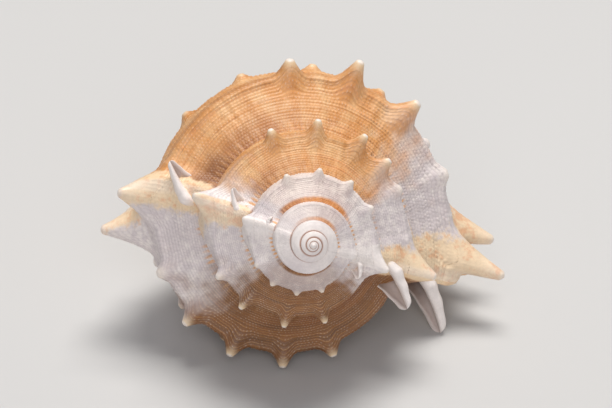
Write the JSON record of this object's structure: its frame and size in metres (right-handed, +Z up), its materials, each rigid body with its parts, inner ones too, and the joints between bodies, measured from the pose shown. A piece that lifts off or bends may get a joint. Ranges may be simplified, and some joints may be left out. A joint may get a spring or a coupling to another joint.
{
  "type": "snail shell",
  "caption": "Spiny frog shell with a stepped spire, spined varices, pointed shoulder nodules and an open aperture, lying on its aperture side.",
  "frame": {"origin": "centre of the shell's footprint box, at the level that it rests on", "axes": "+Z up as it rests; the coiling axis runs along Y, apex to -Y and a little raised, siphonal canal to +Y; the outer lip is at +X"},
  "size_m": [0.0613, 0.064, 0.0404],
  "materials": {
    "shell": "satin, banded white and orange-brown, with fine spiral beads"
  },
  "bodies": {
    "root": {"shell": "shell"}
  },
  "joints": []
}
